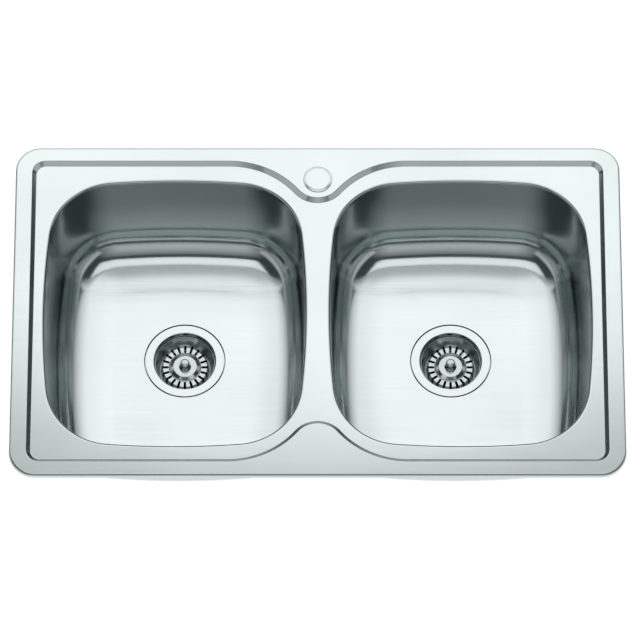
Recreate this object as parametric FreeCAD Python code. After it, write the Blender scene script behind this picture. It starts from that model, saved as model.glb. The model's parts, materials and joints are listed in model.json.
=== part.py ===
import FreeCAD, Part
import math
import os

V = FreeCAD.Vector
UP = V(0, 0, 1)

# Sizes are in mm. The origin is the middle of the worktop seat: X to the right, Y to the back, Z up.

# Pressed sheet and rim
sheet = 1.0
sink_length = 800.0
sink_width = 480.0
outer_corner_r = 34.0
rim_rise = 7.0
edge_r = 3.5

# Step from the rim down to the recessed deck
step_inset_side = 25.0
step_inset_front = 23.0
step_drop = 5.5
step_slope = math.radians(45.0)
step_bend_r = 1.5
step_corner_r = 15.0
ledge_reach = 54.6
ledge_flank_gap = 27.0
ledge_nose_r = 36.0

# Bowls
deck_side = 38.1
deck_front = 42.0
deck_back = 45.1
divider = 25.0
bowl_corner_r = 90.0
bowl_side_r = 1100.0
bowl_depth = 165.0
lip_r = 4.0
weld_collar = 4.0
wall_draft = math.radians(4.0)
floor_to_middle = 6.0
floor_bend_r = 40.0
floor_fall = math.radians(8.5)
floor_fall_flat = 2.0
floor_dish_r = 250.0

# Tap hole and its cover
tap_hole_r = 17.5
tap_to_step = 29.3
cover_lap = 1.5
cover_edge = 1.0
cover_rise = 1.8
cover_wall = 1.5
skirt_gap = 1.0
skirt_drop = 9.0
grip_gap = 0.1
grip_height = 3.0

# Strainer flange and cup
drain_to_middle = 10.0
drain_to_back = 7.0
drain_hole_r = 44.5
flange_lap = 8.1
cup_sheet = 1.2
recess_gap = 0.6
recess_run = 1.0
drain_gap = 1.5
mouth_bend_r = 3.0
cup_taper = 4.5
cup_depth = 40.0
cup_bend_r = 4.0
well_r = 12.0
well_depth = 5.5
well_bend_r = 1.5
cup_slots = 8
cup_slot_width = 9.0
cup_slot_from_well = 5.5
cup_slot_from_wall = 9.0
gasket_height = 1.5
gasket_margin = 1.0

# Basket with its stem, seal and knob
basket_sheet = 0.8
basket_depth = 20.0
basket_disc_r = 20.0
basket_disc_rise = 2.5
basket_disc_run = 1.5
basket_taper = 7.0
basket_bend_r = 4.0
basket_rim_drop = 7.0
basket_gap = 0.5
basket_lip = 1.2
basket_slots = 20
basket_slot_width = 3.4
basket_slot_from_disc = 3.5
basket_slot_from_wall = 2.0
stem_r = 4.0
stem_fit = 0.05
stem_flange_r = 8.0
stem_seat_gap = 0.5
stem_reach = 20.0
stem_shoulder = 1.0
stopper_margin = 1.5
stopper_height = 3.0
collar_wall = 3.0
knob_r = 8.0
knob_lip = 2.5
knob_height = 13.0
knob_cap = 7.0
knob_edge_r = 2.0

# Waste body under the bowl
waste_gasket_height = 3.0
waste_flange_lap = 2.0
waste_flange_height = 4.0
waste_wall = 4.0
waste_floor_gap = 8.0
waste_cone = 20.0
outlet_r = 23.9
outlet_wall = 3.9
outlet_length = 27.0
outlet_chamfer = 1.0
screw_r = 6.0
screw_length = 28.0
screw_head_margin = 2.0
screw_head_height = 3.0
screw_slot_width = 2.5
screw_slot_depth = 1.2
screw_play = 0.2
boss_wall = 4.0
boss_gap = 0.5
boss_length = 25.0
web_width = 3.0
web_height = 14.0
webs = 3
grip_ribs = 12
grip_rib_width = 3.0
grip_rib_out = 2.0

# Seal under the rim
rim_seal_inset = 4.0
rim_seal_width = 8.0

# Sound pads under the bowl floors
pad_end_gap = 20.0
pad_edge_gap = 5.0
pad_waste_gap = 8.0
pad_height = 3.0

# Fixing clips
clip_corner = 47.0
clip_setback = 2.0
bracket_width = 24.0
bracket_height = 1.5
rivet_r = 2.5
rivet_head_r = 4.5
rivet_head_height = 1.5
clip_play = 0.3
strap = 2.0
strap_width = 14.0
strap_bend_r = 2.5
hook_drop = 36.0
hook_reach = 42.0
clamp_margin = 9.0
clamp_r = 3.0
clamp_boss_wall = 2.5
clamp_boss_height = 2.5
clamp_pad_r = 5.5
clamp_pad_height = 2.0
clamp_travel = 10.0
clamp_head_r = 5.0
clamp_head_height = 2.5

# Sizes and positions that follow
deck_z = rim_rise - step_drop
floor_z = rim_rise - bowl_depth
step_corner = step_drop / (2 * math.tan(step_slope))
step_half = step_corner + step_bend_r * math.tan(step_slope / 2)
bowl_length = (sink_length - divider) / 2 - deck_side
bowl_width = sink_width - deck_front - deck_back
bowl_x = (divider + bowl_length) / 2
bowl_y = (deck_front - deck_back) / 2
ledge_flank_r = bowl_corner_r + ledge_flank_gap
tap_y = sink_width / 2 - step_inset_front - ledge_reach + tap_to_step
cover_r = tap_hole_r + cover_lap
seat_drop = cup_sheet + gasket_height
flange_r = drain_hole_r + flange_lap
mouth_r = drain_hole_r - drain_gap - cup_sheet
cup_bottom_r = mouth_r - cup_taper
basket_rim_r = mouth_r - cup_taper * basket_rim_drop / cup_depth - basket_gap - basket_lip
basket_bottom_r = basket_rim_r - basket_taper
stem_thread_r = stem_r - stem_shoulder
knob_neck_r = knob_r - knob_lip
waste_flange_r = flange_r + waste_flange_lap
waste_inner_r = drain_hole_r
outlet_bore_r = outlet_r - outlet_wall
bracket_run = deck_front - step_inset_front - step_half - 2 * clip_setback
clamp_at = hook_reach - clamp_margin


# Loops in plan: lists of segments, run anticlockwise, each with its ends and an arc's centre


def segment(start, end, centre=None):
    return {"start": start, "end": end, "centre": centre}


def arc_angle(seg):
    a = seg["start"] - seg["centre"]
    b = seg["end"] - seg["centre"]
    return math.atan2(a.x * b.y - a.y * b.x, a.x * b.x + a.y * b.y)


def inward(seg, point):
    if seg["centre"] is None:
        along = (seg["end"] - seg["start"]).normalize()
        return V(-along.y, along.x, 0)
    return (seg["centre"] - point).normalize() * math.copysign(1, arc_angle(seg))


def turned_about(point, centre, angle):
    arm = point - centre
    c, s = math.cos(angle), math.sin(angle)
    return centre + V(c * arm.x - s * arm.y, s * arm.x + c * arm.y, arm.z)


def half_turn(loop):
    return [
        segment(*(-p if p is not None else None for p in (s["start"], s["end"], s["centre"])))
        for s in loop
    ]


def moved(loop, by):
    return [
        segment(*(p + by if p is not None else None for p in (s["start"], s["end"], s["centre"])))
        for s in loop
    ]


def rim_loop():
    x, y, r = sink_length / 2, sink_width / 2, outer_corner_r
    half = [
        segment(V(x, r - y, 0), V(x, y - r, 0)),
        segment(V(x, y - r, 0), V(x - r, y, 0), V(x - r, y - r, 0)),
        segment(V(x - r, y, 0), V(r - x, y, 0)),
        segment(V(r - x, y, 0), V(-x, y - r, 0), V(r - x, y - r, 0)),
    ]
    return half + half_turn(half)


def step_loop():
    x, y, r = sink_length / 2 - step_inset_side, sink_width / 2 - step_inset_front, step_corner_r
    span = ledge_flank_r + ledge_nose_r
    flank_x = math.sqrt(2 * ledge_reach * span - ledge_reach**2)
    flank = V(flank_x, y - ledge_flank_r, 0)
    nose = V(0, y - ledge_reach + ledge_nose_r, 0)
    meet = flank + (nose - flank) * (ledge_flank_r / span)
    mirror = V(-meet.x, meet.y, 0)
    half = [
        segment(V(x, r - y, 0), V(x, y - r, 0)),
        segment(V(x, y - r, 0), V(x - r, y, 0), V(x - r, y - r, 0)),
        segment(V(x - r, y, 0), V(flank_x, y, 0)),
        segment(V(flank_x, y, 0), meet, flank),
        segment(meet, mirror, nose),
        segment(mirror, V(-flank_x, y, 0), V(-flank_x, flank.y, 0)),
        segment(V(-flank_x, y, 0), V(r - x, y, 0)),
        segment(V(r - x, y, 0), V(-x, y - r, 0), V(r - x, y - r, 0)),
    ]
    return half + half_turn(half)


def bowl_loop(side):
    right = V(bowl_length / 2 - bowl_side_r, 0, 0)
    back = V(0, bowl_width / 2 - bowl_side_r, 0)
    reach = bowl_side_r - bowl_corner_r
    apart = back - right
    across = V(apart.y, -apart.x, 0).normalize()
    if across.x < 0:
        across = -across
    corner = (right + back) * 0.5 + across * math.sqrt(reach**2 - (apart.Length / 2) ** 2)
    low = right + (corner - right) * (bowl_side_r / reach)
    high = back + (corner - back) * (bowl_side_r / reach)
    half = [
        segment(V(low.x, -low.y, 0), low, right),
        segment(low, high, corner),
        segment(high, V(-high.x, high.y, 0), back),
        segment(V(-high.x, high.y, 0), V(-low.x, low.y, 0), V(-corner.x, corner.y, 0)),
    ]
    return moved(half + half_turn(half), V(side * bowl_x, bowl_y, 0))


def loop_wire(loop, inset, z):
    edges = []
    for seg in loop:
        start = seg["start"] + inward(seg, seg["start"]) * inset + V(0, 0, z)
        end = seg["end"] + inward(seg, seg["end"]) * inset + V(0, 0, z)
        if seg["centre"] is None:
            edges.append(Part.makeLine(start, end))
        else:
            middle = turned_about(start, seg["centre"], arc_angle(seg) / 2)
            edges.append(Part.Arc(start, middle, end).toShape())
    return Part.Wire(edges)


# Sections: paths of (distance, height, bend radius), cut from sheet or turned about an upright axis


def bends(path):
    pieces = []
    start = V(path[0][0], 0, path[0][1])
    for before, at, after in zip(path, path[1:], path[2:]):
        corner = V(at[0], 0, at[1])
        back = (V(before[0], 0, before[1]) - corner).normalize()
        ahead = (V(after[0], 0, after[1]) - corner).normalize()
        half = back.getAngle(ahead) / 2
        first = corner + back * (at[2] / math.tan(half))
        last = corner + ahead * (at[2] / math.tan(half))
        if (first - start).Length > 1e-6:
            pieces.append((start, first))
        if at[2] > 0:
            centre = corner + (back + ahead).normalize() * (at[2] / math.sin(half))
            pieces.append((first, centre + (corner - centre).normalize() * at[2], last))
        start = last
    end = V(path[-1][0], 0, path[-1][1])
    if (end - start).Length > 1e-6:
        pieces.append((start, end))
    return pieces


def offset(path, gap):
    ways = [(V(b[0] - a[0], 0, b[1] - a[1])).normalize() for a, b in zip(path, path[1:])]
    rights = [V(w.z, 0, -w.x) for w in ways]
    result = []
    for i, (d, z, r) in enumerate(path):
        one, two = rights[max(i - 1, 0)], rights[min(i, len(rights) - 1)]
        shift = (one + two) * (gap / (1 + one.dot(two)))
        left_turn = one.x * two.z - one.z * two.x > 0
        bend = max(r + (gap if left_turn else -gap), 0) if r > 0 else 0
        result.append((d + shift.x, z + shift.z, bend))
    return result


def edge_of(points):
    return Part.makeLine(*points) if len(points) == 2 else Part.Arc(*points).toShape()


def swept(loop, path):
    faces = []
    for seg in loop:
        side = inward(seg, seg["start"])
        for piece in bends(path):
            edge = edge_of([seg["start"] + side * p.x + V(0, 0, p.z) for p in piece])
            if seg["centre"] is None:
                faces.append(edge.extrude(seg["end"] - seg["start"]))
            else:
                faces.append(edge.revolve(seg["centre"], UP, math.degrees(arc_angle(seg))))
    return faces


def swept_sheet(loop, path):
    return swept(loop, path) + swept(loop, offset(path, sheet))


def spun_faces(centre, path):
    return [edge_of([centre + p for p in piece]).revolve(centre, UP, 360) for piece in bends(path)]


def turned(centre, path):
    edges = [edge_of([centre + p for p in piece]) for piece in bends(path + path[:1])]
    return Part.Face(Part.Wire(edges)).revolve(centre, UP, 360)


def turned_sheet(centre, path, gap):
    other = offset(path, gap)[::-1]
    pieces = bends(path) + [((V(path[-1][0], 0, path[-1][1])), V(other[0][0], 0, other[0][1]))]
    pieces += bends(other) + [(V(other[-1][0], 0, other[-1][1]), V(path[0][0], 0, path[0][1]))]
    edges = [edge_of([centre + p for p in piece]) for piece in pieces]
    return Part.Face(Part.Wire(edges)).revolve(centre, UP, 360)


def tube(centre, inner_r, outer_r, low, high):
    corners = [(inner_r, low, 0), (outer_r, low, 0), (outer_r, high, 0), (inner_r, high, 0)]
    return turned(centre, corners)


def plate(wires):
    return Part.makeFace(wires, "Part::FaceMakerBullseye")


def circle(centre, r, z):
    return Part.Wire([Part.makeCircle(r, centre + V(0, 0, z), UP)])


def solid_of(faces):
    skin = Part.makeCompound(faces)
    skin.sewShape()
    body = Part.makeSolid(skin.Shells[0])
    if body.Volume < 0:
        body.reverse()
    return body


def ring_of_slots(centre, count, width, r_in, r_out, low, high):
    inner = r_in + width / 2
    outer = r_out - width / 2
    bar = Part.makeBox(outer - inner, width, high - low, V(inner, -width / 2, low))
    ends = [Part.makeCylinder(width / 2, high - low, V(r, 0, low)) for r in (inner, outer)]
    slot = bar.fuse(ends)
    slots = []
    for i in range(count):
        one = slot.copy()
        one.rotate(V(0, 0, 0), UP, 360.0 * i / count)
        one.translate(centre)
        slots.append(one)
    return slots


# Bowl section: lip, drafted wall, floor bend, gentle fall and flat floor
lip_corner = lip_r * math.tan((math.pi / 2 - wall_draft) / 2)
lip_path = [
    (0, deck_z, 0),
    (lip_corner, deck_z, lip_r),
    (
        lip_corner + (lip_corner + weld_collar) * math.sin(wall_draft),
        deck_z - (lip_corner + weld_collar) * math.cos(wall_draft),
        0,
    ),
]
fall_run = (
    floor_bend_r * math.tan((math.pi / 2 - wall_draft - floor_fall) / 2)
    + floor_fall_flat
    + floor_dish_r * math.tan(floor_fall / 2)
)
wall_foot_z = floor_z + fall_run * math.sin(floor_fall)
wall_foot = lip_corner + (deck_z - wall_foot_z) * math.tan(wall_draft)
fall_foot = wall_foot + fall_run * math.cos(floor_fall)
floor_inset = fall_foot + floor_dish_r * math.tan(floor_fall / 2)
bowl_path = [
    lip_path[-1],
    (wall_foot, wall_foot_z, floor_bend_r),
    (fall_foot, floor_z, floor_dish_r),
    (floor_inset, floor_z, 0),
]
weld_line = [lip_path[-1], offset(lip_path, sheet)[-1]]
weld_z = lip_path[-1][1]


# The bowls lean: below the weld each level lies nearer the middle of the sink, down to the floor
def lean(side, z):
    return V(side * floor_to_middle * (z - weld_z) / (weld_z - floor_z), 0, 0)


def leaning(faces, side):
    slant = FreeCAD.Matrix()
    slant.A13 = lean(side, weld_z + 1).x
    slant.A14 = lean(side, 0).x
    return [face.transformGeometry(slant) for face in faces]


def make_deck():
    rim = rim_loop()
    step = step_loop()
    bowls = [bowl_loop(-1), bowl_loop(1)]
    tap = V(0, tap_y, 0)
    step_path = [
        (-step_half, rim_rise, 0),
        (-step_corner, rim_rise, step_bend_r),
        (step_corner, deck_z, step_bend_r),
        (step_half, deck_z, 0),
    ]
    edge_path = [(0, 0, 0), (0, rim_rise, edge_r), (edge_r, rim_rise, 0)]
    faces = swept_sheet(rim, edge_path) + swept(rim, [(0, 0, 0), (sheet, 0, 0)])
    faces += swept_sheet(step, step_path)
    for bowl in bowls:
        faces += swept_sheet(bowl, lip_path) + swept(bowl, weld_line)
    for drop in (0, sheet):
        high, low = rim_rise - drop, deck_z - drop
        outline = loop_wire(rim, edge_r, high)
        faces.append(plate([outline, loop_wire(step, -step_half, high), circle(tap, tap_hole_r, high)]))
        faces.append(plate([loop_wire(step, step_half, low)] + [loop_wire(b, 0, low) for b in bowls]))
    faces += spun_faces(tap, [(tap_hole_r, rim_rise - sheet, 0), (tap_hole_r, rim_rise, 0)])
    return solid_of(faces)


def drain_centre(side):
    return V(side * (bowl_x - drain_to_middle), bowl_y + drain_to_back, floor_z)


def make_bowl(side):
    loop = bowl_loop(side)
    centre = drain_centre(side)
    recess_r = flange_r + recess_gap
    recess_path = [
        (drain_hole_r, -seat_drop, 0),
        (recess_r, -seat_drop, 0),
        (recess_r + recess_run, 0, 0),
    ]
    under_path = offset(recess_path, sheet)
    under_path[-1] = (under_path[1][0] + recess_run, -sheet, 0)
    faces = leaning(swept_sheet(loop, bowl_path) + swept(loop, weld_line), side)
    for path in (recess_path, under_path):
        faces += spun_faces(centre, path)
        rim_r, z, bend = path[-1]
        floor_loop = moved(loop, lean(side, floor_z + z))
        faces.append(plate([loop_wire(floor_loop, floor_inset, floor_z + z), circle(centre, rim_r, z)]))
    faces += spun_faces(centre, [recess_path[0], under_path[0]])
    return solid_of(faces)


def make_rim_seal():
    rim = rim_loop()
    inner = rim_seal_inset + rim_seal_width
    ring = plate([loop_wire(rim, rim_seal_inset, 0), loop_wire(rim, inner, 0)])
    return ring.extrude(V(0, 0, rim_rise - sheet))


def make_cover():
    centre = V(0, tap_y, rim_rise)
    skirt_r = tap_hole_r - skirt_gap
    dome_r = (cover_r**2 + (cover_rise - cover_edge) ** 2) / (2 * (cover_rise - cover_edge))
    cap = Part.makeSphere(dome_r, V(0, tap_y, rim_rise + cover_rise - dome_r))
    cap = cap.common(Part.makeCylinder(cover_r, cover_rise, centre))
    skirt = tube(centre, skirt_r - cover_wall, skirt_r, -skirt_drop, cover_edge / 2)
    return cap.fuse(skirt).removeSplitter()


def make_grip_ring():
    centre = V(0, tap_y, rim_rise)
    return tube(centre, tap_hole_r - skirt_gap, tap_hole_r - grip_gap, -grip_height, 0)


# Strainer, with heights measured from the bowl floor
cup_floor = -cup_depth
well_floor = cup_floor - well_depth
stopper_r = cup_bottom_r - cup_bend_r - stopper_margin
stopper_top = cup_floor + stopper_height
disc_top = basket_disc_rise - basket_depth
waste_top = -seat_drop - sheet - waste_gasket_height
waste_low = waste_top - cup_depth - waste_floor_gap
outlet_top = waste_low - waste_cone
outlet_end = outlet_top - outlet_length


def make_cup(centre):
    path = [
        (screw_r + screw_play, well_floor, 0),
        (well_r, well_floor, well_bend_r),
        (well_r, cup_floor, well_bend_r),
        (cup_bottom_r, cup_floor, cup_bend_r),
        (mouth_r, 0, mouth_bend_r),
        (flange_r, 0, 0),
    ]
    cup = turned_sheet(centre, path, cup_sheet)
    low, high = cup_floor - 2 * cup_sheet, cup_floor + cup_sheet
    slot_in = well_r + cup_slot_from_well
    slot_out = cup_bottom_r - cup_slot_from_wall
    slots = ring_of_slots(centre, cup_slots, cup_slot_width, slot_in, slot_out, low, high)
    return cup.cut(slots)


def make_flange_gasket(centre):
    low, high = -seat_drop, -cup_sheet
    return tube(centre, drain_hole_r + gasket_margin, flange_r - gasket_margin, low, high)


def make_waste_gasket(centre):
    low, high = waste_top, waste_top + waste_gasket_height
    return tube(centre, drain_hole_r + gasket_margin, flange_r, low, high)


def make_waste_body(centre):
    wall_r = waste_inner_r + waste_wall
    flange_low = waste_top - waste_flange_height
    outside = [
        (0, waste_top, 0),
        (waste_flange_r, waste_top, 0),
        (waste_flange_r, flange_low, 0),
        (wall_r, flange_low, 0),
        (wall_r, waste_low, 0),
        (outlet_r, outlet_top, 0),
        (0, outlet_top, 0),
    ]
    inside = [
        (0, waste_top, 0),
        (waste_inner_r, waste_top, 0),
        (waste_inner_r, waste_low + waste_wall / 2, 0),
        (outlet_bore_r, outlet_top + waste_wall / 2, 0),
        (outlet_bore_r, outlet_top, 0),
        (0, outlet_top, 0),
    ]
    envelope = turned(centre, outside)
    body = envelope.cut(turned(centre, inside))
    boss_top = well_floor - cup_sheet - boss_gap
    boss_r = screw_r + boss_wall
    web = Part.makeBox(wall_r, web_width, web_height, V(0, -web_width / 2, boss_top - web_height))
    added = [Part.makeCylinder(boss_r, boss_length, centre + V(0, 0, boss_top - boss_length))]
    for i in range(webs):
        one = web.copy()
        one.rotate(V(0, 0, 0), UP, 360.0 * i / webs)
        one.translate(centre)
        added.append(envelope.common(one))
    rib_low = waste_low + waste_wall
    rib = Part.makeBox(waste_wall / 2 + grip_rib_out, grip_rib_width, flange_low - rib_low)
    for i in range(grip_ribs):
        one = rib.copy()
        one.translate(V(wall_r - waste_wall / 2, -grip_rib_width / 2, rib_low))
        one.rotate(V(0, 0, 0), UP, 360.0 * i / grip_ribs)
        one.translate(centre)
        added.append(one)
    bore = Part.makeCylinder(screw_r, boss_length, centre + V(0, 0, boss_top - boss_length))
    return body.fuse(added).cut(bore).removeSplitter()


def make_outlet(centre):
    path = [
        (outlet_bore_r, outlet_end, 0),
        (outlet_r - outlet_chamfer, outlet_end, 0),
        (outlet_r, outlet_end + outlet_chamfer, 0),
        (outlet_r, outlet_top, 0),
        (outlet_bore_r, outlet_top, 0),
    ]
    return turned(centre, path)


def make_centre_screw(centre):
    head_r = well_r - screw_head_margin
    bore_r = stem_r + stem_fit
    head_top = well_floor + screw_head_height
    path = [
        (bore_r, well_floor - screw_length, 0),
        (screw_r, well_floor - screw_length, 0),
        (screw_r, well_floor, 0),
        (head_r, well_floor, 0),
        (head_r, head_top, 0),
        (bore_r, head_top, 0),
    ]
    corner = V(-head_r, -screw_slot_width / 2, head_top - screw_slot_depth)
    slot = Part.makeBox(2 * head_r, screw_slot_width, screw_head_height, corner + centre)
    return turned(centre, path).cut(slot)


def make_basket(centre):
    path = [
        (stem_r, disc_top, 0),
        (basket_disc_r, disc_top, basket_disc_run),
        (basket_disc_r + basket_disc_run, -basket_depth, basket_disc_run),
        (basket_bottom_r, -basket_depth, basket_bend_r),
        (basket_rim_r, -basket_rim_drop, basket_lip),
        (basket_rim_r + basket_lip, -basket_rim_drop, 0),
    ]
    basket = turned_sheet(centre, path, basket_sheet)
    low, high = -basket_depth - 3 * basket_sheet, -basket_depth + 3 * basket_sheet
    slot_in = basket_disc_r + basket_slot_from_disc
    slot_out = basket_bottom_r - basket_slot_from_wall
    slots = ring_of_slots(centre, basket_slots, basket_slot_width, slot_in, slot_out, low, high)
    return basket.cut(slots)


def make_stem(centre):
    flange_low = well_floor + screw_head_height + stem_seat_gap
    low = cup_floor - stem_reach
    top = disc_top + knob_height - knob_cap / 2
    path = [
        (0, low, 0),
        (stem_thread_r, low, 0),
        (stem_r, low + stem_r - stem_thread_r, 0),
        (stem_r, flange_low, 0),
        (stem_flange_r, flange_low, 0),
        (stem_flange_r, cup_floor, 0),
        (stem_r, cup_floor, 0),
        (stem_r, disc_top, 0),
        (stem_thread_r, disc_top, 0),
        (stem_thread_r, top, 0),
        (0, top, 0),
    ]
    return turned(centre, path)


def make_stopper(centre):
    return tube(centre, stem_r, stopper_r, cup_floor, stopper_top)


def make_collar(centre):
    return tube(centre, stem_r, stem_r + collar_wall, stopper_top, disc_top - basket_sheet)


def make_knob(centre):
    top = disc_top + knob_height
    socket_top = top - knob_cap / 2
    path = [
        (0, top, 0),
        (knob_r, top, knob_edge_r),
        (knob_r, top - knob_cap, knob_edge_r),
        (knob_neck_r, top - knob_cap, knob_edge_r / 2),
        (knob_neck_r, disc_top, 0),
        (stem_thread_r, disc_top, 0),
        (stem_thread_r, socket_top, 0),
        (0, socket_top, 0),
    ]
    return turned(centre, path)


def make_pad(side):
    length = bowl_length - 2 * (floor_inset + pad_end_gap)
    front = floor_inset + pad_edge_gap - bowl_width / 2
    back = drain_to_back - waste_flange_r - pad_waste_gap
    middle = side * (bowl_x - floor_to_middle)
    corner = V(middle - length / 2, bowl_y + front, floor_z - sheet - pad_height)
    return Part.makeBox(length, back - front, pad_height, corner)


# Fixing clips, built with their foot pointing out along X and their pivot over the origin
ear_top = -bracket_height - clip_play
ear_low = ear_top - strap
foot_top = ear_low - hook_drop
leg_at = strap_width / 2


def make_bracket():
    corner = V(-bracket_run / 2, -bracket_width / 2, -bracket_height)
    body = Part.makeBox(bracket_run, bracket_width, bracket_height, corner)
    return body.cut(Part.makeCylinder(rivet_r, bracket_height, V(0, 0, -bracket_height)))


def make_rivet():
    head_top = ear_low - clip_play
    head_low = head_top - rivet_head_height
    path = [
        (0, 0, 0),
        (rivet_r, 0, 0),
        (rivet_r, head_top, 0),
        (rivet_head_r, head_top, 0),
        (rivet_head_r, head_low, rivet_head_height / 2),
        (0, head_low, 0),
    ]
    return turned(V(0, 0, 0), path)


def make_hook():
    inner = [
        (0, ear_low, 0),
        (leg_at, ear_low, strap_bend_r),
        (leg_at, foot_top - strap, strap_bend_r + strap),
        (hook_reach, foot_top - strap, 0),
    ]
    outer = offset(inner, -strap)[::-1]
    pieces = bends(inner) + [(V(inner[-1][0], 0, inner[-1][1]), V(outer[0][0], 0, outer[0][1]))]
    pieces += bends(outer) + [(V(outer[-1][0], 0, outer[-1][1]), V(inner[0][0], 0, inner[0][1]))]
    side = Part.Face(Part.Wire([edge_of(piece) for piece in pieces]))
    side.translate(V(0, -strap_width / 2, 0))
    body = side.extrude(V(0, strap_width, 0))
    ear = Part.makeCylinder(strap_width / 2, strap, V(0, 0, ear_low))
    boss_low = V(clamp_at, 0, foot_top - strap - clamp_boss_height)
    boss = Part.makeCylinder(clamp_r + clamp_boss_wall, clamp_boss_height + strap / 2, boss_low)
    body = body.fuse([ear, boss])
    pivot = Part.makeCylinder(rivet_r + clip_play, strap, V(0, 0, ear_low))
    thread = Part.makeCylinder(clamp_r + clip_play, strap + clamp_boss_height, boss_low)
    return body.cut([pivot, thread]).removeSplitter()


def make_clamp_screw():
    centre = V(clamp_at, 0, 0)
    top = foot_top + clamp_pad_height
    head_top = foot_top - strap - clamp_boss_height - clamp_travel - clip_play
    path = [
        (0, top, 0),
        (clamp_pad_r, top, 0),
        (clamp_pad_r, foot_top, 0),
        (clamp_r, foot_top, 0),
        (clamp_r, head_top, 0),
        (0, head_top, 0),
    ]
    corners = []
    for i in range(7):
        turn = math.radians(60 * i)
        corners.append(centre + V(clamp_head_r * math.cos(turn), clamp_head_r * math.sin(turn), head_top))
    head = Part.Face(Part.makePolygon(corners)).extrude(V(0, 0, -clamp_head_height))
    return turned(centre, path).fuse(head)


def clip_places():
    back = step_inset_front + step_half + clip_setback + bracket_run / 2
    side = step_inset_side + step_half + clip_setback + bracket_run / 2
    x, y, z = sink_length / 2 - side, sink_width / 2 - back, deck_z - sheet
    front_y = bowl_y - bowl_width / 2 + clip_corner
    back_y = bowl_y + bowl_width / 2 - clip_corner
    return [
        (V(x, front_y, z), 0),
        (V(x, back_y, z), 0),
        (V(bowl_x, y, z), 90),
        (V(-bowl_x, y, z), 90),
        (V(-x, back_y, z), 180),
        (V(-x, front_y, z), 180),
        (V(-bowl_x, -y, z), 270),
        (V(bowl_x, -y, z), 270),
    ]


def placed(shape, place, extra_turn):
    body = shape.copy()
    body.rotate(V(0, 0, 0), UP, place[1] + extra_turn)
    body.translate(place[0])
    return body


# Every node, written to its own file
nodes = {
    "deck": make_deck(),
    "left_bowl": make_bowl(-1),
    "right_bowl": make_bowl(1),
    "rim_seal": make_rim_seal(),
    "tap_hole_cover": make_cover(),
    "cover_grip_ring": make_grip_ring(),
    "left_sound_pad": make_pad(-1),
    "right_sound_pad": make_pad(1),
}

makers = {
    "strainer_cup": make_cup,
    "flange_gasket": make_flange_gasket,
    "waste_gasket": make_waste_gasket,
    "waste_body": make_waste_body,
    "outlet_spigot": make_outlet,
    "centre_screw": make_centre_screw,
    "basket": make_basket,
    "stem": make_stem,
    "stopper_seal": make_stopper,
    "stem_collar": make_collar,
    "knob": make_knob,
}
for name, make in makers.items():
    nodes["left_" + name] = make(drain_centre(-1))
    nodes["right_" + name] = make(drain_centre(1))

places = clip_places()
bracket, rivet, hook, clamp_screw = make_bracket(), make_rivet(), make_hook(), make_clamp_screw()
nodes["clip_brackets"] = Part.makeCompound([placed(bracket, p, 0) for p in places])
nodes["clip_rivets"] = Part.makeCompound([placed(rivet, p, 0) for p in places])
for number, place in enumerate(places, 1):
    nodes["clip_%d_hook" % number] = placed(hook, place, 90)
    nodes["clip_%d_screw" % number] = placed(clamp_screw, place, 90)

os.makedirs("parts", exist_ok=True)
for name, shape in nodes.items():
    shape.exportStep("parts/" + name + ".step")
    print(name, shape.isValid(), len(shape.Solids), round(shape.Volume))
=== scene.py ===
import json
import math

import bmesh
import bpy
from mathutils import Matrix, Vector

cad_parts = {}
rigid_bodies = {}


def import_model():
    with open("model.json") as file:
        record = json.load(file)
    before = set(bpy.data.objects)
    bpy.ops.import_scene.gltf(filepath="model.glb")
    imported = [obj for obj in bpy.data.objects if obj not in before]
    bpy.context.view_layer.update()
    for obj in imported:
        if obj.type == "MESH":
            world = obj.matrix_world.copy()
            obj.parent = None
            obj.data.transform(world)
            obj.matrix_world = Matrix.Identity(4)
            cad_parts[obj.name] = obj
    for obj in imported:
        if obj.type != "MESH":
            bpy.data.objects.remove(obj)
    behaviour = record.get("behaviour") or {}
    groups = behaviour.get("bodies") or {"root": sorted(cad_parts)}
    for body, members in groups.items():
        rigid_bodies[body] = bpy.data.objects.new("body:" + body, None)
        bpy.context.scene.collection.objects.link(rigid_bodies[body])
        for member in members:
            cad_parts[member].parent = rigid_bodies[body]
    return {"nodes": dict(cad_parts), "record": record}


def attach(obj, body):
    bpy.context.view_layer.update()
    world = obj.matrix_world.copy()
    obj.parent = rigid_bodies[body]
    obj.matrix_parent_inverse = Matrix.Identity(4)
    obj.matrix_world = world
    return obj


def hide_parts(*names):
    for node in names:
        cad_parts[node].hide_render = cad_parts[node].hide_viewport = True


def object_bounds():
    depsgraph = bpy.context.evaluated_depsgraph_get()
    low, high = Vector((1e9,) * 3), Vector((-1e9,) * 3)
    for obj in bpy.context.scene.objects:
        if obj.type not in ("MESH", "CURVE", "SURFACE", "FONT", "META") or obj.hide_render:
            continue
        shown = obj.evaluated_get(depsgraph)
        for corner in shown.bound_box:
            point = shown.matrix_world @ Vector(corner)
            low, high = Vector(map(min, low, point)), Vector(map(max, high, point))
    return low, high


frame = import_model()
cadLow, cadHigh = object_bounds()
mm = 0.001  # the pieces are given in millimetres and degrees, the studio in metres and degrees
print("frame loaded")


# drawing and shaping helpers

drawing = {
    "sagitta": 0.02, "bendStep": 8, "turnSteps": 96, "leastArcSteps": 3, "leastBendSteps": 2,
    "smoothAngle": 35, "closeGap": 0.01, "samePoint": 0.0001, "sameLevel": 0.001, "facesDown": -0.5,
}
sides = (("left", -1), ("right", 1))


def clearSelection():
    if bpy.context.object and bpy.context.object.mode != "OBJECT":
        bpy.ops.object.mode_set(mode="OBJECT")
    bpy.ops.object.select_all(action="DESELECT")


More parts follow.
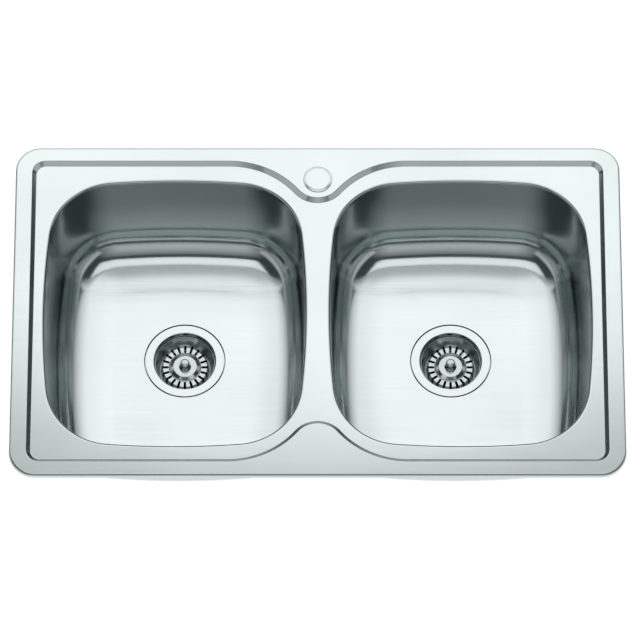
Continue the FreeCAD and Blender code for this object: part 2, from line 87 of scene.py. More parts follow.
def setDown(x, y, z):  # a tiny plane merged to one point, where a line starts
    bpy.ops.mesh.primitive_plane_add(size=mm, location=(x * mm, y * mm, z * mm))
    if bpy.context.object.mode != "EDIT":
        bpy.ops.object.transform_apply(location=True, rotation=False, scale=False)
        bpy.ops.object.mode_set(mode="EDIT")
        bpy.ops.mesh.select_all(action="SELECT")
    bpy.ops.mesh.merge(type="CENTER")


def newPiece(name, x, y, z):
    clearSelection()
    setDown(x, y, z)
    piece = bpy.context.object
    piece.name = name
    piece.data.name = name
    return piece


def drawLine(dx, dy, dz=0):
    bpy.ops.mesh.extrude_region_move(TRANSFORM_OT_translate={"value": (dx * mm, dy * mm, dz * mm)})


def chordAngle(radius):
    return 2 * math.acos(1 - min(drawing["sagitta"] / radius, 1))


def drawArc(x, y, z, radius, degrees):  # anticlockwise is positive, as on paper
    steps = max(drawing["leastArcSteps"], math.ceil(math.radians(abs(degrees)) / chordAngle(radius)))
    centre = (x * mm, y * mm, z * mm)
    bpy.ops.mesh.spin(steps=steps, angle=-math.radians(degrees), center=centre, axis=(0, 0, 1))


def closeOutline():  # joins the drawn line's ends and fills it with one face looking up
    bpy.ops.mesh.select_linked()
    bpy.ops.mesh.remove_doubles(threshold=drawing["closeGap"] * mm)
    bpy.ops.mesh.edge_face_add()
    shape = bmesh.from_edit_mesh(bpy.context.object.data)
    if [f for f in shape.faces if f.select][0].normal.z < 0:
        bpy.ops.mesh.flip_normals()


def roundPath(corners):  # section corners (across, height, bend radius) to points, bends in short chords
    points = [Vector(corners[0][:2])]
    for before, at, after in zip(corners, corners[1:], corners[2:]):
        corner = Vector(at[:2])
        if at[2] == 0:
            points.append(corner)
            continue
        back = (Vector(before[:2]) - corner).normalized()
        ahead = (Vector(after[:2]) - corner).normalized()
        half = back.angle(ahead) / 2
        turn = math.copysign(math.pi - 2 * half, ahead.cross(back))
        centre = corner + (back + ahead).normalized() * (at[2] / math.sin(half))
        arm = corner + back * (at[2] / math.tan(half)) - centre
        step = min(math.radians(drawing["bendStep"]), chordAngle(at[2]))
        steps = max(drawing["leastBendSteps"], math.ceil(abs(turn) / step))
        for i in range(steps + 1):
            points.append(centre + Matrix.Rotation(turn * i / steps, 2) @ arm)
    points.append(Vector(corners[-1][:2]))
    gap = drawing["samePoint"]
    return [p for i, p in enumerate(points) if i == 0 or (p - points[i - 1]).length > gap]


def insetAlong(corners, lean=0):  # carries the selected face along a section, ring by ring, leaning along X
    points = roundPath(corners)
    for here, there in zip(points, points[1:]):
        step = (there - here) * mm
        bpy.ops.mesh.inset(thickness=step.x, depth=step.y, use_even_offset=True)
        if lean:
            bpy.ops.transform.translate(value=(lean * step.y, 0, 0))


def openInside():
    bpy.ops.mesh.delete(type="ONLY_FACE")


def fillFlat(height):  # fills between all open edges at one height
    shape = bmesh.from_edit_mesh(bpy.context.object.data)
    bpy.ops.mesh.select_mode(type="EDGE")
    bpy.ops.mesh.select_all(action="DESELECT")
    for edge in shape.edges:
        level = all(abs(v.co.z - height * mm) < drawing["sameLevel"] * mm for v in edge.verts)
        edge.select = level and len(edge.link_faces) < 2
    shape.select_flush_mode()
    bmesh.update_edit_mesh(bpy.context.object.data)
    bpy.ops.mesh.fill(use_beauty=True)
    bpy.ops.mesh.select_mode(type="FACE")
    bpy.ops.mesh.select_all(action="DESELECT")
    for face in shape.faces:
        face.select = face.normal.z < drawing["facesDown"]
    bmesh.update_edit_mesh(bpy.context.object.data)
    bpy.ops.mesh.flip_normals()
    bpy.ops.mesh.select_mode(type="VERT")
    bpy.ops.mesh.select_all(action="DESELECT")


def applyNew(piece, kind, **settings):
    modifier = piece.modifiers.new(kind.lower(), kind)
    for key, value in settings.items():
        setattr(modifier, key, value)
    bpy.ops.object.modifier_apply(modifier=modifier.name)


def thicken(piece, sheet):
    if piece.mode != "OBJECT":
        bpy.ops.object.mode_set(mode="OBJECT")
    applyNew(
        piece, "SOLIDIFY", thickness=sheet * mm, offset=-1, use_even_offset=True, use_quality_normals=True
    )


def smooth(piece):
    clearSelection()
    piece.select_set(True)
    bpy.context.view_layer.objects.active = piece
    bpy.ops.object.shade_smooth_by_angle(angle=math.radians(drawing["smoothAngle"]))
    applyNew(piece, "WEIGHTED_NORMAL", keep_sharp=True)


def turnedPiece(name, x, y, z, corners):  # spins a section of (radius, height, bend) round an upright axis
    points = roundPath(corners)
    piece = newPiece(name, x + points[0].x, y, z + points[0].y)
    for here, there in zip(points, points[1:]):
        drawLine(there.x - here.x, 0, there.y - here.y)
    bpy.ops.mesh.select_linked()
    centre = (x * mm, y * mm, 0)
    bpy.ops.mesh.spin(steps=drawing["turnSteps"], angle=2 * math.pi, center=centre, axis=(0, 0, 1))
    bpy.ops.mesh.select_all(action="SELECT")
    bpy.ops.mesh.remove_doubles(threshold=drawing["closeGap"] * mm)
    bpy.ops.mesh.normals_make_consistent(inside=False)
    shape = bmesh.from_edit_mesh(piece.data)
    if max(shape.faces, key=lambda f: f.calc_center_median().z).normal.z < 0:
        bpy.ops.mesh.flip_normals()
    bpy.ops.object.mode_set(mode="OBJECT")
    return piece


def finishPiece(piece, body, slotName, material, *nodes):
    smooth(piece)
    piece.data.materials.clear()
    piece.data.materials.append(material)
    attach(piece, body)
    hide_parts(*nodes)
    print(piece.name, "made,", len(piece.data.polygons), "faces")


# materials

grain = {
    "alongScale": 6.0, "acrossScale": 900.0, "streakDetail": 3.0, "cloudScale": 7.0, "cloudDetail": 2.0,
    "wallUntil": 0.5, "flatFrom": 0.9,
}
specks = {"detail": 3.0, "cloudScale": 24.0}
noiseLow, noiseHigh = 0.3, 0.7  # the stretch of a noise that is spread between the two limits of a look


def addNode(tree, kind, **settings):
    node = tree.nodes.new(kind)
    for key, value in settings.items():
        setattr(node, key, value)
    return node


def addSocket(group, name, way):  # a group socket that carries one value
    group.interface.new_socket(name, in_out=way, socket_type="NodeSocketFloat")


def brushedGrain():  # streaks along X on flats and level streaks on walls
    group = bpy.data.node_groups.new("brushedGrain", "ShaderNodeTree")
    addSocket(group, "Depth", "INPUT")
    addSocket(group, "Streak", "OUTPUT")
    addSocket(group, "Cloud", "OUTPUT")
    entry = addNode(group, "NodeGroupInput")
    leave = addNode(group, "NodeGroupOutput")
    place = addNode(group, "ShaderNodeTexCoord")
    facing = addNode(group, "ShaderNodeNewGeometry")
    split = addNode(group, "ShaderNodeSeparateXYZ")
    upright = addNode(group, "ShaderNodeMath", operation="ABSOLUTE")
    flatness = addNode(group, "ShaderNodeMapRange", interpolation_type="SMOOTHSTEP")
    flatness.inputs["From Min"].default_value = grain["wallUntil"]
    flatness.inputs["From Max"].default_value = grain["flatFrom"]
    group.links.new(facing.outputs["True Normal"], split.inputs[0])
    group.links.new(split.outputs["Z"], upright.inputs[0])
    group.links.new(upright.outputs[0], flatness.inputs["Value"])
    along, across = grain["alongScale"], grain["acrossScale"]
    streaks = []
    for scale in ((along, along, across), (along, across, along)):
        mapping = addNode(group, "ShaderNodeMapping")
        mapping.inputs["Scale"].default_value = scale
        noise = addNode(group, "ShaderNodeTexNoise")
        noise.inputs["Scale"].default_value = 1.0  # the mapping sets its scale
        noise.inputs["Detail"].default_value = grain["streakDetail"]
        group.links.new(place.outputs["Object"], mapping.inputs["Vector"])
        group.links.new(mapping.outputs["Vector"], noise.inputs["Vector"])
        streaks.append(noise.outputs["Fac"])
    mix = addNode(group, "ShaderNodeMix", data_type="FLOAT")
    group.links.new(flatness.outputs["Result"], mix.inputs["Factor"])
    group.links.new(streaks[0], mix.inputs["A"])
    group.links.new(streaks[1], mix.inputs["B"])
    deepen = addNode(group, "ShaderNodeMath", operation="MULTIPLY")
    group.links.new(mix.outputs["Result"], deepen.inputs[0])
    group.links.new(entry.outputs["Depth"], deepen.inputs[1])
    cloud = addNode(group, "ShaderNodeTexNoise")
    cloud.inputs["Scale"].default_value = grain["cloudScale"]
    cloud.inputs["Detail"].default_value = grain["cloudDetail"]
    group.links.new(place.outputs["Object"], cloud.inputs["Vector"])
    group.links.new(deepen.outputs[0], leave.inputs["Streak"])
    group.links.new(cloud.outputs["Fac"], leave.inputs["Cloud"])
    return group


def speckle():  # fine moulded or worn texture for the plastic, rubber and plated pieces
    group = bpy.data.node_groups.new("speckle", "ShaderNodeTree")
    addSocket(group, "Fineness", "INPUT")
    addSocket(group, "Grain", "OUTPUT")
    addSocket(group, "Cloud", "OUTPUT")
    entry = addNode(group, "NodeGroupInput")
    leave = addNode(group, "NodeGroupOutput")
    place = addNode(group, "ShaderNodeTexCoord")
    fine = addNode(group, "ShaderNodeTexNoise")
    fine.inputs["Detail"].default_value = specks["detail"]
    wide = addNode(group, "ShaderNodeTexNoise")
    wide.inputs["Scale"].default_value = specks["cloudScale"]
    group.links.new(place.outputs["Object"], fine.inputs["Vector"])
    group.links.new(entry.outputs["Fineness"], fine.inputs["Scale"])
    group.links.new(place.outputs["Object"], wide.inputs["Vector"])
    group.links.new(fine.outputs["Fac"], leave.inputs["Grain"])
    group.links.new(wide.outputs["Fac"], leave.inputs["Cloud"])
    return group


grainGroup = brushedGrain()
speckleGroup = speckle()


def startMaterial(name, group):
    material = bpy.data.materials.new(name)
    material.use_nodes = True
    tree = material.node_tree
    shader = tree.nodes["Principled BSDF"]
    effect = addNode(tree, "ShaderNodeGroup", node_tree=group)
    return material, tree, shader, effect


def between(tree, value, low, high, socket):  # runs a socket between two limits
    span = addNode(tree, "ShaderNodeMapRange")
    span.inputs["From Min"].default_value = noiseLow
    span.inputs["From Max"].default_value = noiseHigh
    span.inputs["To Min"].default_value = low
    span.inputs["To Max"].default_value = high
    tree.links.new(value, span.inputs["Value"])
    tree.links.new(span.outputs["Result"], socket)


def blendColours(tree, value, dark, light, socket):
    ramp = addNode(tree, "ShaderNodeValToRGB")
    ramp.color_ramp.elements[0].position = noiseLow
    ramp.color_ramp.elements[1].position = noiseHigh
    ramp.color_ramp.elements[0].color = (*dark, 1)
    ramp.color_ramp.elements[1].color = (*light, 1)
    tree.links.new(value, ramp.inputs["Fac"])
    tree.links.new(ramp.outputs["Color"], socket)


def addBump(tree, height, shader, strength, distance):
    bump = addNode(tree, "ShaderNodeBump")
    bump.inputs["Strength"].default_value = strength
    bump.inputs["Distance"].default_value = distance * mm
    tree.links.new(height, bump.inputs["Height"])
    tree.links.new(bump.outputs["Normal"], shader.inputs["Normal"])


satin = {"dark": (0.57, 0.625, 0.615), "light": (0.61, 0.66, 0.65), "roughness": (0.12, 0.18),
         "depth": 1.0, "strength": 0.05, "height": 0.02}
bright = {"dark": (0.57, 0.61, 0.6), "light": (0.6, 0.64, 0.63), "roughness": (0.1, 0.15),
          "depth": 1.0, "strength": 0.04, "height": 0.01}
# the bright steel made darker: painted shade for the lift basket and knob, which sit down in the strainer
# cup
brightSteelShaded = {"dark": (0.46, 0.5, 0.495), "light": (0.49, 0.53, 0.525), "roughness": (0.1, 0.15),
        "depth": 1.0, "strength": 0.04, "height": 0.01}


def steel(name, look):
    material, tree, shader, effect = startMaterial(name, grainGroup)
    shader.inputs["Metallic"].default_value = 1.0
    effect.inputs["Depth"].default_value = look["depth"]
    blendColours(tree, effect.outputs["Cloud"], look["dark"], look["light"], shader.inputs["Base Color"])
    between(tree, effect.outputs["Streak"], *look["roughness"], shader.inputs["Roughness"])
    addBump(tree, effect.outputs["Streak"], shader, look["strength"], look["height"])
    return material


plated = {"dark": (0.5, 0.52, 0.54), "light": (0.62, 0.64, 0.65), "roughness": (0.28, 0.42),
          "fineness": 700, "strength": 0.15, "height": 0.05, "metallic": 1.0}
rubber = {"dark": (0.035, 0.035, 0.036), "light": (0.055, 0.055, 0.056), "roughness": (0.7, 0.85),
          "fineness": 1600, "strength": 0.2, "height": 0.06, "metallic": 0.0}
padding = {"dark": (0.12, 0.12, 0.125), "light": (0.18, 0.18, 0.185), "roughness": (0.8, 0.95),
           "fineness": 900, "strength": 0.35, "height": 0.2, "metallic": 0.0}
foam = {"dark": (0.19, 0.19, 0.2), "light": (0.27, 0.27, 0.28), "roughness": (0.85, 0.98),
        "fineness": 1300, "strength": 0.6, "height": 0.35, "metallic": 0.0}
plastic = {"dark": (0.045, 0.046, 0.05), "light": (0.065, 0.066, 0.07), "roughness": (0.38, 0.5),
           "fineness": 2200, "strength": 0.15, "height": 0.05, "metallic": 0.0}


def grained(name, look):
    material, tree, shader, effect = startMaterial(name, speckleGroup)
    shader.inputs["Metallic"].default_value = look["metallic"]
    effect.inputs["Fineness"].default_value = look["fineness"]
    blendColours(tree, effect.outputs["Cloud"], look["dark"], look["light"], shader.inputs["Base Color"])
    between(tree, effect.outputs["Grain"], *look["roughness"], shader.inputs["Roughness"])
    addBump(tree, effect.outputs["Grain"], shader, look["strength"], look["height"])
    return material


finishes = {
    "satin_steel": steel("satinSteel", satin),
    "bright_steel": steel("brightSteel", bright),
    "zinc_steel": grained("zincSteel", plated),
    "seal_rubber": grained("sealRubber", rubber),
    "pad_rubber": grained("padRubber", padding),
    "foam": grained("foam", foam),
    "black_plastic": grained("blackPlastic", plastic),
}
for subpart in frame["record"]["subparts"]:
    node = frame["nodes"][subpart["node"]]
    if not node.material_slots:
        node.data.materials.append(None)
    for slot in node.material_slots:
        slot.material = finishes[subpart["material_slot"]]
# the lift basket and knob take this darker copy of the bright steel, as painted shade for their place down
# in the strainer cup
shadedBasketSteel = steel("shadedBasketSteel", brightSteelShaded)
print("finishes set on", len(frame["nodes"]), "nodes")


# deck and bowls

deck = {
    "length": 800, "width": 480, "cornerR": 34, "rise": 7, "edgeR": 3.5, "sheet": 1,
    "stepSide": 25, "stepFront": 23, "stepDrop": 5.5, "stepSlope": 45, "stepBendR": 1.5, "stepCornerR": 15,
    "ledgeReach": 54.6, "flankR": 117, "noseR": 36, "tapHoleR": 17.5, "tapY": 191.7, "tapSides": 64,
}
bowl = {
    "middleX": 187.2, "middleY": -1.55, "length": 349.4, "width": 392.9, "depth": 165,
    "cornerR": 90, "sideR": 1100, "lipR": 4, "collar": 4, "draft": 4, "lean": 6,
    "floorBendR": 40, "floorFall": 8.5, "fallFlat": 2, "dishR": 250,
    "drainX": 177.2, "drainY": 5.45, "holeR": 44.5, "drainSides": 128,
    "recessR": 53.2, "recessRun": 1, "recessDrop": 2.7,
}
deckZ = deck["rise"] - deck["stepDrop"]
floorZ = deck["rise"] - bowl["depth"]


def drawRim(z):
    x, y, r = deck["length"] / 2, deck["width"] / 2, deck["cornerR"]
    setDown(x, r - y, z)
    for s in (1, -1):
        drawLine(0, s * 2 * (y - r))
        drawArc(s * (x - r), s * (y - r), z, r, 90)
        drawLine(-s * 2 * (x - r), 0)
        drawArc(-s * (x - r), s * (y - r), z, r, 90)
    closeOutline()


def drawStep(out, z):  # the step's line, moved out by a distance
    x = deck["length"] / 2 - deck["stepSide"] + out
    y = deck["width"] / 2 - deck["stepFront"] + out
    r, flankR, noseR = deck["stepCornerR"] + out, deck["flankR"] + out, deck["noseR"] - out
    span, reach = deck["flankR"] + deck["noseR"], deck["ledgeReach"]
    flankX = math.sqrt(2 * reach * span - reach**2)
    swing = math.degrees(math.asin(flankX / span))
    flankY, noseY = y - flankR, y - out - reach + deck["noseR"]
    setDown(x, r - y, z)
    for s in (1, -1):
        drawLine(0, s * 2 * (y - r))
        drawArc(s * (x - r), s * (y - r), z, r, 90)
        drawLine(-s * (x - r - flankX), 0)
        drawArc(s * flankX, s * flankY, z, flankR, swing)
        drawArc(0, s * noseY, z, noseR, -2 * swing)
        drawArc(-s * flankX, s * flankY, z, flankR, swing)
        drawLine(-s * (x - r - flankX), 0)
        drawArc(-s * (x - r), s * (y - r), z, r, 90)
    closeOutline()


def drawBowl(side, inset, z):  # four long bowed sides joined by round corners
    middle, level = side * bowl["middleX"], bowl["middleY"]
    sideR, cornerR = bowl["sideR"], bowl["cornerR"]
    right = Vector((bowl["length"] / 2 - sideR, 0))
    back = Vector((0, bowl["width"] / 2 - sideR))
    apart = back - right
    across = Vector((apart.y, -apart.x)).normalized()
    across *= math.copysign(1, across.x)
    corner = (right + back) / 2 + across * math.sqrt((sideR - cornerR) ** 2 - (apart.length / 2) ** 2)
    low = math.degrees(math.atan2(corner.y, corner.x - right.x))
    high = math.degrees(math.atan2(corner.y - back.y, corner.x))
    reach = sideR - inset
    start = math.radians(-low)
    setDown(middle + right.x + reach * math.cos(start), level + reach * math.sin(start), z)
    for s in (1, -1):
        drawArc(middle + s * right.x, level, z, reach, 2 * low)
        drawArc(middle + s * corner.x, level + s * corner.y, z, cornerR - inset, high - low)
        drawArc(middle, level + s * back.y, z, reach, 180 - 2 * high)
        drawArc(middle - s * corner.x, level + s * corner.y, z, cornerR - inset, high - low)
    closeOutline()


draft, fall = math.radians(bowl["draft"]), math.radians(bowl["floorFall"])
lipCorner = bowl["lipR"] * math.tan((math.pi / 2 - draft) / 2)
lipReach = lipCorner + bowl["collar"]
weld = (lipCorner + lipReach * math.sin(draft), deckZ - lipReach * math.cos(draft))
lipSection = [(0, deckZ, 0), (lipCorner, deckZ, bowl["lipR"]), (*weld, 0)]
dishRun = bowl["dishR"] * math.tan(fall / 2)
fallRun = bowl["floorBendR"] * math.tan((math.pi / 2 - draft - fall) / 2) + bowl["fallFlat"] + dishRun
footZ = floorZ + fallRun * math.sin(fall)
foot = lipCorner + (deckZ - footZ) * math.tan(draft)
fallFoot = foot + fallRun * math.cos(fall)
bowlSection = [
    (*weld, 0),
    (foot, footZ, bowl["floorBendR"]),
    (fallFoot, floorZ, bowl["dishR"]),
    (fallFoot + dishRun, floorZ, 0),
]


def makeDeck():
    slope = math.radians(deck["stepSlope"])
    corner = deck["stepDrop"] / (2 * math.tan(slope))
    half = corner + deck["stepBendR"] * math.tan(slope / 2)
    rise, edgeR, bendR = deck["rise"], deck["edgeR"], deck["stepBendR"]
    piece = newPiece("pressed_deck", 0, 0, 0)
    bpy.ops.mesh.delete(type="VERT")
    drawRim(0)
    insetAlong([(0, 0, 0), (0, rise, edgeR), (edgeR, rise, 0)])
    openInside()
    drawStep(half, rise)
    insetAlong([(-half, rise, 0), (-corner, rise, bendR), (corner, deckZ, bendR), (half, deckZ, 0)])
    openInside()
    tapPlace = (0, deck["tapY"] * mm, rise * mm)
    bpy.ops.mesh.primitive_circle_add(
        vertices=deck["tapSides"], radius=deck["tapHoleR"] * mm, location=tapPlace
    )
    for side in (-1, 1):
        drawBowl(side, 0, deckZ)
        insetAlong(lipSection)
        openInside()
    fillFlat(rise)
    fillFlat(deckZ)
    thicken(piece, deck["sheet"])
    finishPiece(piece, "sink", "satin_steel", finishes["satin_steel"], "deck")


def makeBowl(name, side):
    piece = newPiece(name + "_bowl_shell", 0, 0, 0)
    bpy.ops.mesh.delete(type="VERT")
    drawBowl(side, weld[0], weld[1])
    insetAlong(bowlSection, side * bowl["lean"] / (weld[1] - floorZ))
    openInside()
    drainPlace = (side * bowl["drainX"] * mm, bowl["drainY"] * mm, floorZ * mm)
    run, drop = bowl["recessRun"], bowl["recessDrop"]
    rimR = bowl["recessR"] + run
    bpy.ops.mesh.primitive_circle_add(
        vertices=bowl["drainSides"], radius=rimR * mm, location=drainPlace, fill_type="NGON"
    )
    insetAlong([(0, 0, 0), (run, -drop, 0), (rimR - bowl["holeR"], -drop, 0)])
    openInside()
    fillFlat(floorZ)
    thicken(piece, deck["sheet"])
    finishPiece(piece, "sink", "satin_steel", finishes["satin_steel"], name + "_bowl")


makeDeck()
for name, side in sides:
    makeBowl(name, side)


# strainers, with heights from the bowl floor

cup = {
    "boreR": 6.2, "wellR": 12, "wellFloor": -45.5, "wellBendR": 1.5, "floor": -40,
    "bottomR": 37.3, "bendR": 4, "mouthR": 41.2, "mouthBendR": 1.2,
    "flangeR": 52.6, "flangeEdgeR": 0.4, "sheet": 1.2,
    "slots": 8, "slotWidth": 9, "slotIn": 17.5, "slotOut": 28.3,
}
basket = {
    "holeR": 4, "discTop": -16.6, "bevelR": 15.4, "bevelBendR": 1, "discR": 20, "discDrop": 1.7,
    "discRun": 1.6, "floor": -19.5, "bottomR": 29.6, "bendR": 2.5, "rimR": 39.3, "rim": -7,
    "lip": 0.9, "lipDrop": 0.9, "sheet": 0.8,
    "slots": 20, "slotWidth": 3.4, "slotIn": 21.6, "slotOut": 31.2,
}
knob = {
    "topR": 5.9, "waistR": 6.6, "footR": 8.2, "height": 12.3, "waist": 6, "foot": 0.8, "edgeR": 2.4,
    "dome": 0.8,
}
cutterReach = 4  # sheet thicknesses that a slot cutter reaches above and below the face of the floor


def cutSlots(piece, x, y, z, look):  # cuts a ring of round-ended slots through a turned sheet
    half = look["slotWidth"] / 2
    start, end = x + look["slotIn"] + half, x + look["slotOut"] - half
    reach = cutterReach * look["sheet"]
    low = z - reach
    cutter = newPiece("cutter", start, y - half, low)
    drawLine(end - start, 0)
    drawArc(end, y, low, half, 180)
    drawLine(start - end, 0)
    drawArc(start, y, low, half, 180)
    closeOutline()
    drawLine(0, 0, 2 * reach)
    bpy.ops.mesh.select_all(action="SELECT")
    bpy.ops.mesh.normals_make_consistent(inside=False)
    turn = 2 * math.pi / look["slots"]
    for copy in range(1, look["slots"]):
        bpy.ops.mesh.duplicate()
        bpy.ops.transform.rotate(value=turn, orient_axis="Z", center_override=(x * mm, y * mm, 0))
    bpy.ops.object.mode_set(mode="OBJECT")
    clearSelection()
    piece.select_set(True)
    bpy.context.view_layer.objects.active = piece
    applyNew(piece, "BOOLEAN", object=cutter, operation="DIFFERENCE", solver="EXACT")
    bpy.data.objects.remove(cutter)


def makeCup(name, x, y):
    wellR, edgeR, flangeR = cup["wellR"], cup["flangeEdgeR"], cup["flangeR"]
    corners = [
        (cup["boreR"], cup["wellFloor"], 0),
        (wellR, cup["wellFloor"], cup["wellBendR"]),
        (wellR, cup["floor"], cup["wellBendR"]),
        (cup["bottomR"], cup["floor"], cup["bendR"]),
        (cup["mouthR"], 0, cup["mouthBendR"]),
        (flangeR, 0, edgeR),
        (flangeR, -cup["sheet"] / 2, 0),
    ]
    piece = turnedPiece(name + "_strainer_bowl", x, y, floorZ, corners)
    thicken(piece, cup["sheet"])
    cutSlots(piece, x, y, floorZ + cup["floor"], cup)
    finishPiece(piece, "sink", "bright_steel", finishes["bright_steel"], name + "_strainer_cup")


def makeBasket(name, x, y):
    top, discR, run = basket["discTop"], basket["discR"], basket["discRun"]
    corners = [
        (basket["holeR"], top, 0),
        (basket["bevelR"], top, basket["bevelBendR"]),
        (discR, top - basket["discDrop"], run / 2),
        (discR + run, basket["floor"], run / 2),
        (basket["bottomR"], basket["floor"], basket["bendR"]),
        (basket["rimR"], basket["rim"], basket["lip"] / 2),
        (basket["rimR"] + basket["lip"], basket["rim"] - basket["lipDrop"], 0),
    ]
    piece = turnedPiece(name + "_lift_basket", x, y, floorZ, corners)
    thicken(piece, basket["sheet"])
    cutSlots(piece, x, y, floorZ + basket["floor"], basket)
    finishPiece(piece, name + "_plug", "bright_steel", shadedBasketSteel, name + "_basket")


def makeKnob(name, x, y):
    foot = basket["discTop"]
    top, edgeR = foot + knob["height"], knob["edgeR"]
    corners = [
        (0, top, 0),
        (knob["topR"], top - knob["dome"], edgeR),
        (knob["waistR"], foot + knob["waist"], edgeR),
        (knob["footR"], foot + knob["foot"], knob["foot"] / 2),
        (knob["footR"], foot, 0),
    ]
    piece = turnedPiece(name + "_lift_knob", x, y, floorZ, corners)
    finishPiece(piece, name + "_plug", "bright_steel", shadedBasketSteel, name + "_knob")


for name, side in sides:
    makeCup(name, side * bowl["drainX"], bowl["drainY"])
    makeBasket(name, side * bowl["drainX"], bowl["drainY"])
    makeKnob(name, side * bowl["drainX"], bowl["drainY"])


# cover of the tap hole, with heights from the rim

cover = {
    "r": 19, "rise": 1.75, "flatR": 15.6, "bevelBendR": 8, "edge": 0.95, "edgeR": 0.7,
    "skirtR": 16.5, "wall": 1.5, "drop": 9,
}


def makeCover():
    rise, r, skirtR = cover["rise"], cover["r"], cover["skirtR"]
    corners = [
        (0, rise, 0),
        (cover["flatR"], rise, cover["bevelBendR"]),
        (r, cover["edge"], cover["edgeR"]),
        (r, 0, 0),
        (skirtR, 0, 0),
        (skirtR, -cover["drop"], 0),
        (skirtR - cover["wall"], -cover["drop"], 0),
        (skirtR - cover["wall"], 0, 0),
        (0, 0, 0),
    ]
    piece = turnedPiece("hole_cover", 0, deck["tapY"], deck["rise"], corners)
    finishPiece(piece, "tap_cover", "satin_steel", finishes["satin_steel"], "tap_hole_cover")


makeCover()


# camera, floor and lights

view = {"distance": 8.0, "elevation": 63.547, "aim": (0.003, -0.01225, 0.0), "lens": 343.9, "sensor": 36.0}
studio = {
    "ground": (0.045, 0.058, 0.058), "floorSize": 60.0, "floorColour": (0.5, 0.5, 0.5),
    "floorRoughness": 0.9, "glowColour": (1, 1, 1), "floorGlow": 0.88,
}
lamps = {
    "backLight": {
        "place": (0, 1.6871, 1.7287), "tilt": -26.45, "turn": 0, "size": (7, 2.42), "spread": 120,
        "radiance": 1.46,
        "fade": {"least": 0.42, "lead": 0.07, "run": 0.2, "growth": 0.67, "limit": 0.3},
    },
    "topLight": {
        "place": (0, 0, 2), "tilt": 0, "turn": 0, "size": (1.7, 1), "spread": 140, "radiance": 1.2,
    },
    "frontLight": {
        "place": (0, -2.65, 1.833), "tilt": 60, "turn": 0, "size": (9, 3.6), "spread": 78, "radiance": 0.6,
    },
}
sideLamp = {
    "away": 4.4, "ahead": 1.43, "height": 1.9, "tilt": 68, "turn": 72, "size": (6, 2.6), "spread": 150,
    "radiance": 0.55,
}
for name, side in sides:
    lamps[name + "Light"] = {
        **sideLamp,
        "place": (side * sideLamp["away"], -sideLamp["ahead"], sideLamp["height"]),
        "turn": side * sideLamp["turn"],
    }


def setCamera():
    lens = bpy.data.cameras.new("photoCamera")
    lens.lens = view["lens"]
    lens.sensor_width = view["sensor"]
    camera = bpy.data.objects.new("photoCamera", lens)
    bpy.context.scene.collection.objects.link(camera)
    tilt = math.radians(view["elevation"])
    away = Vector((0, -math.cos(tilt), math.sin(tilt))) * view["distance"]
    camera.location = Vector(view["aim"]) + away
    camera.rotation_euler = (math.pi / 2 - tilt, 0, 0)
    bpy.context.scene.camera = camera


def fadeFront(lamp, look):  # dims the front edge, with a slope that is longer towards the sides
    lamp.use_nodes = True
    tree = lamp.node_tree
    place = addNode(tree, "ShaderNodeNewGeometry")
    split = addNode(tree, "ShaderNodeSeparateXYZ")
    tree.links.new(place.outputs["Parametric"], split.inputs[0])

    def reckon(operation, first, second):
        node = addNode(tree, "ShaderNodeMath", operation=operation)
        tree.links.new(first, node.inputs[0])
        node.inputs[1].default_value = second
        return node.outputs[0]

    middle = 0.5  # the lamp's own coordinates run from 0 to 1
    across = reckon("MULTIPLY", reckon("SUBTRACT", split.outputs["X"], middle), lamp.size)
    widening = reckon("MINIMUM", reckon("POWER", reckon("ABSOLUTE", across, 0), 2), look["limit"])
    run = reckon("ADD", reckon("MULTIPLY", widening, look["growth"]), look["run"])
    ahead = reckon("SUBTRACT", reckon("MULTIPLY", split.outputs["Y"], lamp.size_y), look["lead"])
    slope = addNode(tree, "ShaderNodeMath", operation="DIVIDE", use_clamp=True)
    tree.links.new(ahead, slope.inputs[0])
    tree.links.new(run, slope.inputs[1])
    strength = reckon("MAXIMUM", slope.outputs[0], look["least"])
    tree.links.new(strength, tree.nodes["Emission"].inputs["Strength"])


def addSoftbox(name, look):  # the radiance is as seen straight on, and the spread lets it fall off sideways
    lamp = bpy.data.lights.new(name, "AREA")
    lamp.shape = "RECTANGLE"
    lamp.size, lamp.size_y = look["size"]
    lamp.spread = math.radians(look["spread"])
    half = lamp.spread / 2
    gain = math.tan(half) / (math.tan(half) - half)
    lamp.energy = look["radiance"] * math.pi * lamp.size * lamp.size_y / gain
    if "fade" in look:
        fadeFront(lamp, look["fade"])
    box = bpy.data.objects.new(name, lamp)
    box.location = look["place"]
    box.rotation_euler = (math.radians(look["tilt"]), 0, math.radians(look["turn"]))
    bpy.context.scene.collection.objects.link(box)


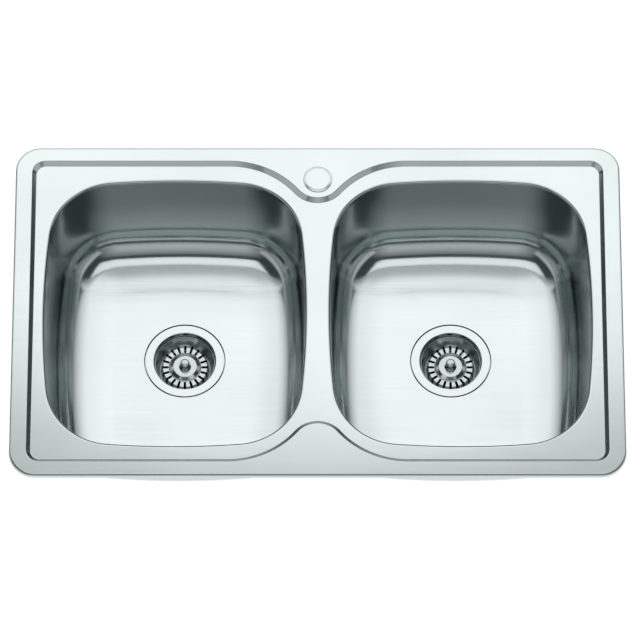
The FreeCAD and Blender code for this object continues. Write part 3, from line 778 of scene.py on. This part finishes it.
def setWorld():
    world = bpy.data.worlds.new("studio")
    world.use_nodes = True
    world.node_tree.nodes["Background"].inputs["Color"].default_value = (*studio["ground"], 1)
    bpy.context.scene.world = world


def makeFloor():
    clearSelection()
    bpy.ops.mesh.primitive_plane_add(size=studio["floorSize"], location=(0, 0, cadLow[2]))
    floor = bpy.context.object
    floor.name = "floor"
    material = bpy.data.materials.new("floorPaper")
    material.use_nodes = True
    tree = material.node_tree
    shader = tree.nodes["Principled BSDF"]
    shader.inputs["Base Color"].default_value = (*studio["floorColour"], 1)
    shader.inputs["Roughness"].default_value = studio["floorRoughness"]
    path = addNode(tree, "ShaderNodeLightPath")
    seen = addNode(tree, "ShaderNodeMath", operation="MAXIMUM")
    seenThrough = addNode(tree, "ShaderNodeMath", operation="MAXIMUM")
    glow = addNode(tree, "ShaderNodeMath", operation="MULTIPLY")
    glow.inputs[1].default_value = studio["floorGlow"]
    tree.links.new(path.outputs["Is Camera Ray"], seen.inputs[0])
    tree.links.new(path.outputs["Is Glossy Ray"], seen.inputs[1])
    tree.links.new(seen.outputs[0], seenThrough.inputs[0])
    tree.links.new(path.outputs["Is Transmission Ray"], seenThrough.inputs[1])
    tree.links.new(seenThrough.outputs[0], glow.inputs[0])
    shader.inputs["Emission Color"].default_value = (*studio["glowColour"], 1)
    tree.links.new(glow.outputs[0], shader.inputs["Emission Strength"])
    below = addNode(tree, "ShaderNodeNewGeometry")  # see-through from below, to show the underside
    clear = addNode(tree, "ShaderNodeBsdfTransparent")
    pick = addNode(tree, "ShaderNodeMixShader")
    tree.links.new(below.outputs["Backfacing"], pick.inputs["Fac"])
    tree.links.new(shader.outputs[0], pick.inputs[1])
    tree.links.new(clear.outputs[0], pick.inputs[2])
    tree.links.new(pick.outputs[0], tree.nodes["Material Output"].inputs["Surface"])
    floor.data.materials.append(material)


setCamera()
setWorld()
for name, look in lamps.items():
    addSoftbox(name, look)
makeFloor()
bpy.context.scene.view_settings.view_transform = "Standard"
print("camera, floor and lights set")
